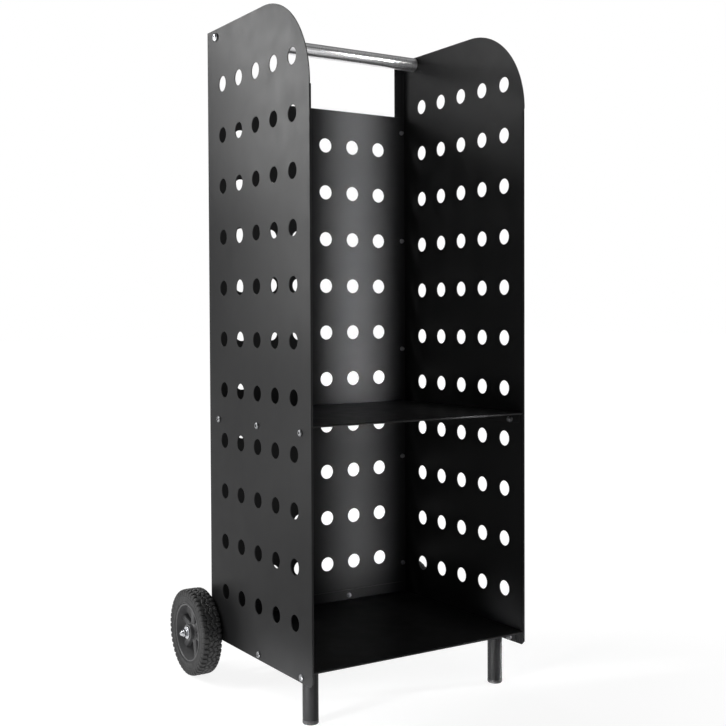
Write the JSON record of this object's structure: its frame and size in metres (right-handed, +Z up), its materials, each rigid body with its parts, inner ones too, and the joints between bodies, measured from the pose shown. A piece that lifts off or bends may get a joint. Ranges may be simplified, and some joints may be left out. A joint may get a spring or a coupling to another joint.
{
  "type": "firewood trolley",
  "caption": "Tall open-fronted perforated steel case with shelves, a tube handle at the rear top, legs at the front and wheels on an axle at the rear.",
  "frame": {"origin": "on the floor, in the middle of the overall width and of the overall depth", "axes": "+Z up; +Y from the open front to the wheels at the rear; +X to the right when facing the open front"},
  "size_m": [0.516, 0.451, 1.12],
  "materials": {
    "black_coat": "fine satin powder coat",
    "bright_tube": "polished",
    "zinc": "zinc plated",
    "tyre_rubber": "matt, moulded tread",
    "black_plastic": "moulded, satin"
  },
  "bodies": {
    "frame": {"left_side_panel": "black_coat", "right_side_panel": "black_coat", "back_panel": "black_coat", "middle_shelf": "black_coat", "bottom_shelf": "black_coat", "handle_tube": "bright_tube", "handle_insert_left": "zinc", "handle_bolt_left": "zinc", "leg_left": "black_coat", "leg_foot_left": "black_plastic", "axle_bracket_left": "black_coat", "axle_bracket_bolt_left": "zinc", "wheel_spacer_left": "zinc", "wheel_washer_left": "zinc", "wheel_cap_nut_left": "zinc", "middle_shelf_bolt_left_1": "zinc", "bottom_shelf_bolt_left_1": "zinc", "middle_shelf_bolt_left_2": "zinc", "bottom_shelf_bolt_left_2": "zinc", "middle_shelf_bolt_left_3": "zinc", "bottom_shelf_bolt_left_3": "zinc", "back_panel_bolt_left_1": "zinc", "back_panel_bolt_left_2": "zinc", "back_panel_bolt_left_3": "zinc", "back_panel_bolt_left_4": "zinc", "back_panel_bolt_left_5": "zinc", "bottom_shelf_rear_bolt_left": "zinc", "handle_insert_right": "zinc", "handle_bolt_right": "zinc", "leg_right": "black_coat", "leg_foot_right": "black_plastic", "axle_bracket_right": "black_coat", "axle_bracket_bolt_right": "zinc", "wheel_spacer_right": "zinc", "wheel_washer_right": "zinc", "wheel_cap_nut_right": "zinc", "middle_shelf_bolt_right_1": "zinc", "bottom_shelf_bolt_right_1": "zinc", "middle_shelf_bolt_right_2": "zinc", "bottom_shelf_bolt_right_2": "zinc", "middle_shelf_bolt_right_3": "zinc", "bottom_shelf_bolt_right_3": "zinc", "back_panel_bolt_right_1": "zinc", "back_panel_bolt_right_2": "zinc", "back_panel_bolt_right_3": "zinc", "back_panel_bolt_right_4": "zinc", "back_panel_bolt_right_5": "zinc", "bottom_shelf_rear_bolt_right": "zinc", "axle": "zinc"},
    "left_wheel": {"tyre_left": "tyre_rubber", "wheel_rim_left": "black_plastic", "wheel_bush_left": "black_plastic"},
    "right_wheel": {"tyre_right": "tyre_rubber", "wheel_rim_right": "black_plastic", "wheel_bush_right": "black_plastic"}
  },
  "joints": [
    {"name": "left_wheel_spin", "type": "hinge", "parent": "frame", "child": "left_wheel", "pos_m": [-0.22825, 0.1505, 0.075], "axis": [1, 0, 0], "continuous": true},
    {"name": "right_wheel_spin", "type": "hinge", "parent": "frame", "child": "right_wheel", "pos_m": [0.22825, 0.1505, 0.075], "axis": [1, 0, 0], "continuous": true}
  ]
}
